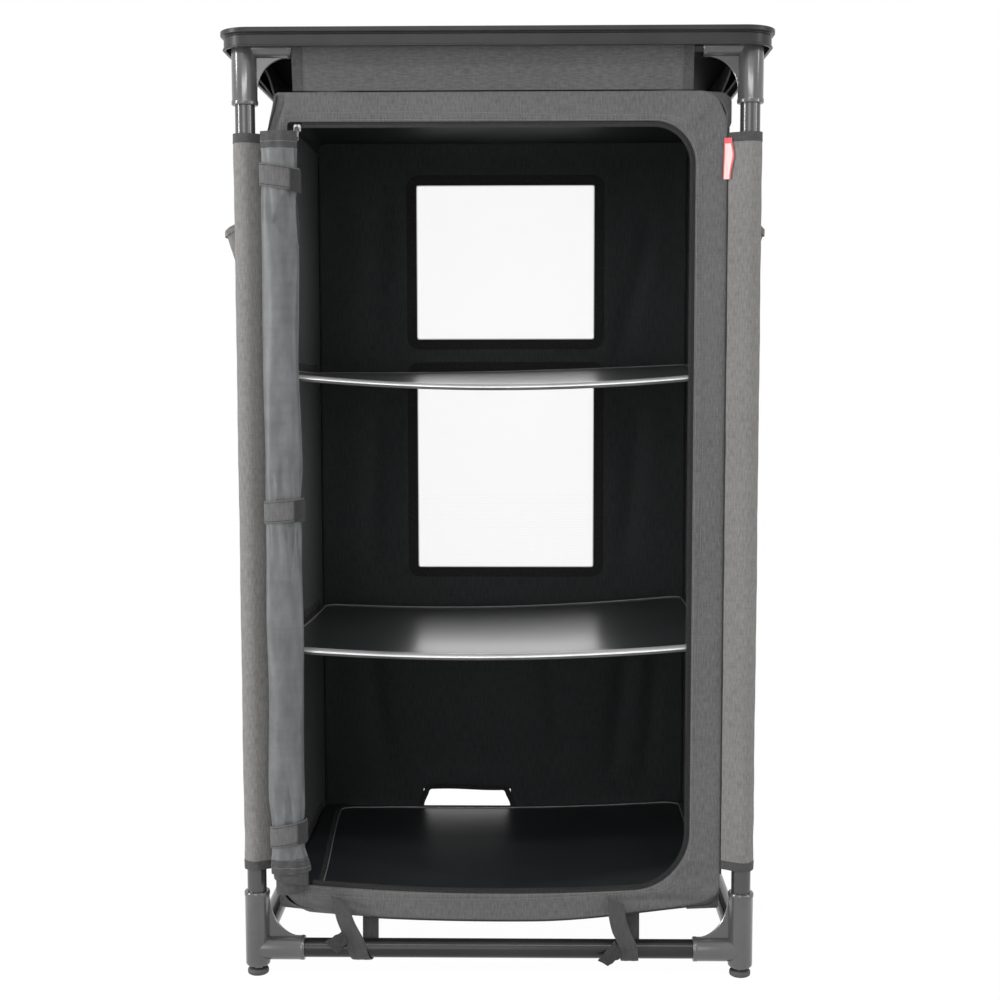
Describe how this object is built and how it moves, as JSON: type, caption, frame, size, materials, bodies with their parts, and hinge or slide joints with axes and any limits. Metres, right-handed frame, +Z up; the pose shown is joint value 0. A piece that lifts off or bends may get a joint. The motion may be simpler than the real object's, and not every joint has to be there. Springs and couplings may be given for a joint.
{
  "type": "camping cabinet",
  "caption": "Free-standing fabric camping cabinet on a plug-together tube frame, with a flat tabletop, vinyl-covered shelves and a rolled-up zip door",
  "frame": {"origin": "on the ground, under the middle of the tabletop", "axes": "+Z up, the open front faces -Y, +X to the right seen from the front"},
  "size_m": [0.6, 0.5, 1.05],
  "materials": {
    "tabletop": "dark laminate on fibreboard, satin",
    "edge_trim": "moulded edge trim, satin",
    "connector": "moulded glass-filled nylon, satin",
    "frame_tube": "powder coat, semi-gloss",
    "foot": "moulded foot, matt",
    "outer_cloth": "two-tone coated polyester, matt",
    "sleeve_cloth": "coated polyester, matt",
    "door_cloth": "coated inner face, slight sheen",
    "shelf_vinyl": "glossy black vinyl",
    "shelf_board": "hardboard",
    "window_mesh": "fine net",
    "zip_tape": "black woven tape with a coil zip",
    "webbing": "hook-and-loop tape",
    "zip_metal": "plated zinc",
    "tag": "plain red woven loop"
  },
  "bodies": {
    "cabinet": {"tabletop_board": "tabletop", "tabletop_rim": "edge_trim", "top_connector_front_left": "connector", "bottom_connector_front_left": "connector", "leg_front_left": "frame_tube", "leg_sleeve_front_left": "sleeve_cloth", "top_connector_front_right": "connector", "bottom_connector_front_right": "connector", "leg_front_right": "frame_tube", "leg_sleeve_front_right": "sleeve_cloth", "top_connector_rear_left": "connector", "bottom_connector_rear_left": "connector", "leg_rear_left": "frame_tube", "leg_sleeve_rear_left": "sleeve_cloth", "top_connector_rear_right": "connector", "bottom_connector_rear_right": "connector", "leg_rear_right": "frame_tube", "leg_sleeve_rear_right": "sleeve_cloth", "top_rail_front": "frame_tube", "bottom_rail_front": "frame_tube", "valance_front": "outer_cloth", "top_rail_rear": "frame_tube", "bottom_rail_rear": "frame_tube", "valance_rear": "outer_cloth", "top_rail_left": "frame_tube", "bottom_rail_left": "frame_tube", "valance_left": "outer_cloth", "top_rail_right": "frame_tube", "bottom_rail_right": "frame_tube", "valance_right": "outer_cloth", "front_panel": "outer_cloth", "rear_panel": "outer_cloth", "roof_panel": "outer_cloth", "side_panel_left": "outer_cloth", "side_panel_right": "outer_cloth", "side_pocket_left": "outer_cloth", "side_pocket_right": "outer_cloth", "upper_mesh_window": "window_mesh", "lower_mesh_window": "window_mesh", "door_zip_tape": "zip_tape", "door_roll": "door_cloth", "door_strap_upper": "webbing", "door_strap_middle": "webbing", "door_strap_lower": "webbing", "tie_strap_left": "webbing", "tie_strap_right": "webbing", "floor_cover": "shelf_vinyl", "floor_board": "shelf_board", "mid_shelf_cover": "shelf_vinyl", "mid_shelf_board": "shelf_board", "top_shelf_cover": "shelf_vinyl", "top_shelf_board": "shelf_board", "zip_slider": "zip_metal", "side_tag": "tag"},
    "foot_front_left": {"levelling_foot_front_left": "foot"},
    "foot_front_right": {"levelling_foot_front_right": "foot"},
    "foot_rear_left": {"levelling_foot_rear_left": "foot"},
    "foot_rear_right": {"levelling_foot_rear_right": "foot"},
    "zip_pull": {"zip_pull": "zip_metal"}
  },
  "joints": [
    {"name": "foot_front_left_slide", "type": "slide", "parent": "cabinet", "child": "foot_front_left", "axis": [0, 0, -1], "range_m": [0, 0.015]},
    {"name": "foot_front_right_slide", "type": "slide", "parent": "cabinet", "child": "foot_front_right", "axis": [0, 0, -1], "range_m": [0, 0.015]},
    {"name": "foot_rear_left_slide", "type": "slide", "parent": "cabinet", "child": "foot_rear_left", "axis": [0, 0, -1], "range_m": [0, 0.015]},
    {"name": "foot_rear_right_slide", "type": "slide", "parent": "cabinet", "child": "foot_rear_right", "axis": [0, 0, -1], "range_m": [0, 0.015]},
    {"name": "zip_pull_hinge", "type": "hinge", "parent": "cabinet", "child": "zip_pull", "pos_m": [-0.2172, -0.2243, 0.9487], "axis": [-1, 0, 0], "range_deg": [0, 100]}
  ]
}
